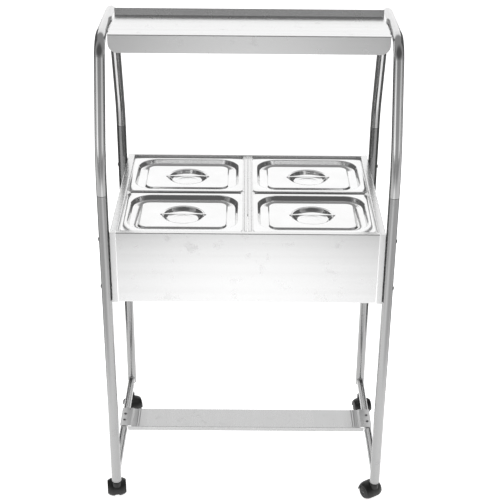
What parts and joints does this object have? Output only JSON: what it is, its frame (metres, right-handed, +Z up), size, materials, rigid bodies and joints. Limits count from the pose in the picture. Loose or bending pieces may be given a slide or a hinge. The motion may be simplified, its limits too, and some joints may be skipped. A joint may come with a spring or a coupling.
{
  "type": "food service trolley",
  "caption": "Tubular steel food service trolley with a sheet steel well of lidded pans, a serving shelf between side hoops, a low cross plate and twin-wheel swivel casters.",
  "frame": {"origin": "on the floor under the middle of the trolley", "axes": "+Z up, front towards -Y, +X to the right of someone who stands in front"},
  "size_m": [0.8173, 0.5793, 1.3647],
  "materials": {
    "polished_tube": "bright drawn stainless tube",
    "brushed_sheet": "fine brushed stainless sheet",
    "bright_pressing": "bright annealed stainless pressing",
    "zinc_fastener": "plated steel",
    "grey_plug": "moulded grey plastic",
    "black_nylon": "satin moulded black nylon",
    "wheel_nylon": "satin black nylon tread"
  },
  "bodies": {
    "frame": {"base_rail_left": "polished_tube", "base_rail_right": "polished_tube", "caster_front_left_stem": "zinc_fastener", "caster_front_right_stem": "zinc_fastener", "caster_rear_left_stem": "zinc_fastener", "caster_rear_right_stem": "zinc_fastener", "centre_divider": "brushed_sheet", "cross_plate": "brushed_sheet", "front_leg_left": "polished_tube", "front_leg_right": "polished_tube", "front_panel": "brushed_sheet", "hoop_left": "polished_tube", "hoop_right": "polished_tube", "leg_plug_left": "grey_plug", "leg_plug_right": "grey_plug", "post_cap_left": "grey_plug", "post_cap_right": "grey_plug", "rear_panel": "brushed_sheet", "rear_post_left": "polished_tube", "rear_post_right": "polished_tube", "side_panel_left": "brushed_sheet", "side_panel_right": "brushed_sheet", "top_shelf": "brushed_sheet", "well_bolt_front_left_lower": "zinc_fastener", "well_bolt_front_left_upper": "zinc_fastener", "well_bolt_front_right_lower": "zinc_fastener", "well_bolt_front_right_upper": "zinc_fastener", "well_bolt_rear_left_lower": "zinc_fastener", "well_bolt_rear_left_upper": "zinc_fastener", "well_bolt_rear_right_lower": "zinc_fastener", "well_bolt_rear_right_upper": "zinc_fastener"},
    "caster_front_left": {"caster_front_left_hood": "black_nylon", "caster_front_left_axle": "zinc_fastener"},
    "wheel_front_left_left": {"caster_front_left_wheel_left": "wheel_nylon"},
    "wheel_front_left_right": {"caster_front_left_wheel_right": "wheel_nylon"},
    "caster_front_right": {"caster_front_right_hood": "black_nylon", "caster_front_right_axle": "zinc_fastener"},
    "wheel_front_right_left": {"caster_front_right_wheel_left": "wheel_nylon"},
    "wheel_front_right_right": {"caster_front_right_wheel_right": "wheel_nylon"},
    "caster_rear_left": {"caster_rear_left_hood": "black_nylon", "caster_rear_left_axle": "zinc_fastener"},
    "wheel_rear_left_left": {"caster_rear_left_wheel_left": "wheel_nylon"},
    "wheel_rear_left_right": {"caster_rear_left_wheel_right": "wheel_nylon"},
    "caster_rear_right": {"caster_rear_right_hood": "black_nylon", "caster_rear_right_axle": "zinc_fastener"},
    "wheel_rear_right_left": {"caster_rear_right_wheel_left": "wheel_nylon"},
    "wheel_rear_right_right": {"caster_rear_right_wheel_right": "wheel_nylon"},
    "pan_front_left": {"pan_front_left": "bright_pressing"},
    "lid_front_left": {"lid_front_left": "bright_pressing", "lid_handle_front_left": "bright_pressing"},
    "pan_front_right": {"pan_front_right": "bright_pressing"},
    "lid_front_right": {"lid_front_right": "bright_pressing", "lid_handle_front_right": "bright_pressing"},
    "pan_rear_left": {"pan_rear_left": "bright_pressing"},
    "lid_rear_left": {"lid_rear_left": "bright_pressing", "lid_handle_rear_left": "bright_pressing"},
    "pan_rear_right": {"pan_rear_right": "bright_pressing"},
    "lid_rear_right": {"lid_rear_right": "bright_pressing", "lid_handle_rear_right": "bright_pressing"}
  },
  "joints": [
    {"name": "caster_front_left_swivel", "type": "hinge", "parent": "frame", "child": "caster_front_left", "pos_m": [-0.3742, -0.268, 0.054], "axis": [0, 0, 1], "continuous": true},
    {"name": "wheel_front_left_left_spin", "type": "hinge", "parent": "caster_front_left", "child": "wheel_front_left_left", "pos_m": [-0.37671, -0.25017, 0.025], "axis": [0.9903, 0.1392, 0], "continuous": true},
    {"name": "wheel_front_left_right_spin", "type": "hinge", "parent": "caster_front_left", "child": "wheel_front_left_right", "pos_m": [-0.37671, -0.25017, 0.025], "axis": [0.9903, 0.1392, 0], "continuous": true},
    {"name": "caster_front_right_swivel", "type": "hinge", "parent": "frame", "child": "caster_front_right", "pos_m": [0.3742, -0.268, 0.054], "axis": [0, 0, 1], "continuous": true},
    {"name": "wheel_front_right_left_spin", "type": "hinge", "parent": "caster_front_right", "child": "wheel_front_right_left", "pos_m": [0.36413, -0.25308, 0.025], "axis": [0.829, 0.5592, 0], "continuous": true},
    {"name": "wheel_front_right_right_spin", "type": "hinge", "parent": "caster_front_right", "child": "wheel_front_right_right", "pos_m": [0.36413, -0.25308, 0.025], "axis": [0.829, 0.5592, 0], "continuous": true},
    {"name": "caster_rear_left_swivel", "type": "hinge", "parent": "frame", "child": "caster_rear_left", "pos_m": [-0.3742, 0.205, 0.054], "axis": [0, 0, 1], "continuous": true},
    {"name": "wheel_rear_left_left_spin", "type": "hinge", "parent": "caster_rear_left", "child": "wheel_rear_left_left", "pos_m": [-0.36775, 0.1882, 0.025], "axis": [-0.9336, -0.3584, 0], "continuous": true},
    {"name": "wheel_rear_left_right_spin", "type": "hinge", "parent": "caster_rear_left", "child": "wheel_rear_left_right", "pos_m": [-0.36775, 0.1882, 0.025], "axis": [-0.9336, -0.3584, 0], "continuous": true},
    {"name": "caster_rear_right_swivel", "type": "hinge", "parent": "frame", "child": "caster_rear_right", "pos_m": [0.3742, 0.205, 0.054], "axis": [0, 0, 1], "continuous": true},
    {"name": "wheel_rear_right_left_spin", "type": "hinge", "parent": "caster_rear_right", "child": "wheel_rear_right_left", "pos_m": [0.37733, 0.18727, 0.025], "axis": [-0.9848, -0.1736, 0], "continuous": true},
    {"name": "wheel_rear_right_right_spin", "type": "hinge", "parent": "caster_rear_right", "child": "wheel_rear_right_right", "pos_m": [0.37733, 0.18727, 0.025], "axis": [-0.9848, -0.1736, 0], "continuous": true},
    {"name": "pan_front_left_lift", "type": "slide", "parent": "frame", "child": "pan_front_left", "axis": [0, 0, 1], "range_m": [0, 0.2]},
    {"name": "lid_front_left_lift", "type": "slide", "parent": "pan_front_left", "child": "lid_front_left", "axis": [0, 0, 1], "range_m": [0, 0.15]},
    {"name": "pan_front_right_lift", "type": "slide", "parent": "frame", "child": "pan_front_right", "axis": [0, 0, 1], "range_m": [0, 0.2]},
    {"name": "lid_front_right_lift", "type": "slide", "parent": "pan_front_right", "child": "lid_front_right", "axis": [0, 0, 1], "range_m": [0, 0.15]},
    {"name": "pan_rear_left_lift", "type": "slide", "parent": "frame", "child": "pan_rear_left", "axis": [0, 0, 1], "range_m": [0, 0.2]},
    {"name": "lid_rear_left_lift", "type": "slide", "parent": "pan_rear_left", "child": "lid_rear_left", "axis": [0, 0, 1], "range_m": [0, 0.15]},
    {"name": "pan_rear_right_lift", "type": "slide", "parent": "frame", "child": "pan_rear_right", "axis": [0, 0, 1], "range_m": [0, 0.2]},
    {"name": "lid_rear_right_lift", "type": "slide", "parent": "pan_rear_right", "child": "lid_rear_right", "axis": [0, 0, 1], "range_m": [0, 0.15]}
  ]
}
